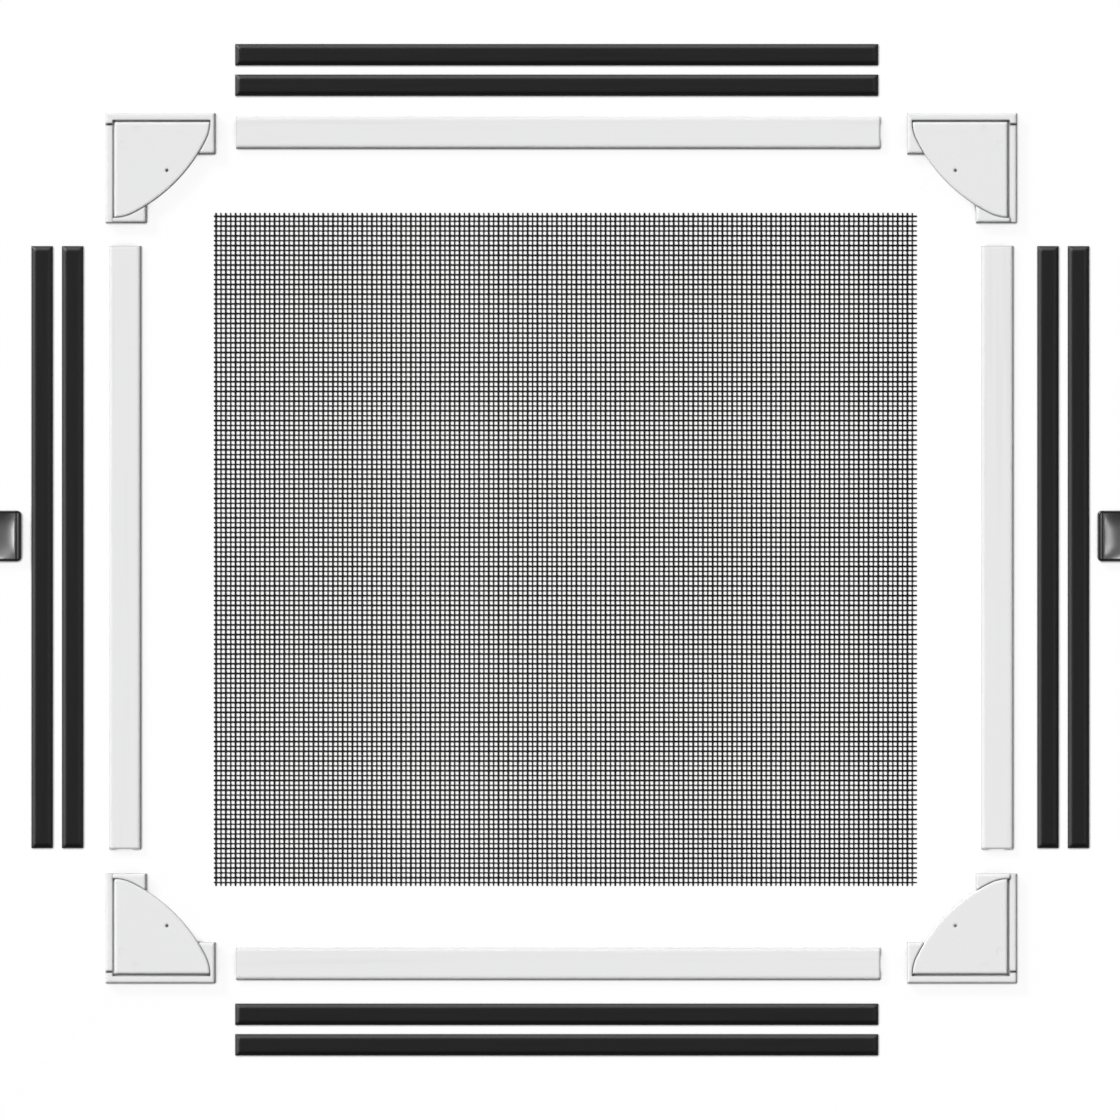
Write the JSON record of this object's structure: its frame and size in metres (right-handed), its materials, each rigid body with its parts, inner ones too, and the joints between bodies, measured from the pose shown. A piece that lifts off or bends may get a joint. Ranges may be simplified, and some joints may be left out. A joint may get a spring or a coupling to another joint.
{
  "type": "window screen frame",
  "caption": "Insect screen kit for a window, laid out flat: channel bars, corner sleeves with bowed plates, magnetic strips, woven mesh and pull handles.",
  "frame": {"origin": "under the middle of the whole lay-out, on the surface that every piece lies on", "axes": "+X along the level bars to the right, +Y along the upright bars to the top, +Z out of the front of the pieces"},
  "size_m": [0.9068, 0.7584, 0.0115],
  "materials": {
    "white_plastic": "white extruded and moulded plastic with a faint sheen",
    "magnetic_rubber": "satin black flexible magnet with bevelled edges",
    "mesh_thread": "black coated glass fibre threads in a plain weave",
    "black_plastic": "polished black plastic"
  },
  "bodies": {
    "root": {"top_frame_bar": "white_plastic", "bottom_frame_bar": "white_plastic", "left_frame_bar": "white_plastic", "right_frame_bar": "white_plastic", "top_left_corner_sleeve": "white_plastic", "top_left_corner_plate": "white_plastic", "top_right_corner_sleeve": "white_plastic", "top_right_corner_plate": "white_plastic", "bottom_left_corner_sleeve": "white_plastic", "bottom_left_corner_plate": "white_plastic", "bottom_right_corner_sleeve": "white_plastic", "bottom_right_corner_plate": "white_plastic", "top_inner_magnetic_strip": "magnetic_rubber", "top_outer_magnetic_strip": "magnetic_rubber", "bottom_inner_magnetic_strip": "magnetic_rubber", "bottom_outer_magnetic_strip": "magnetic_rubber", "left_inner_magnetic_strip": "magnetic_rubber", "left_outer_magnetic_strip": "magnetic_rubber", "right_inner_magnetic_strip": "magnetic_rubber", "right_outer_magnetic_strip": "magnetic_rubber", "insect_mesh": "mesh_thread", "left_pull_handle": "black_plastic", "right_pull_handle": "black_plastic"}
  },
  "joints": []
}
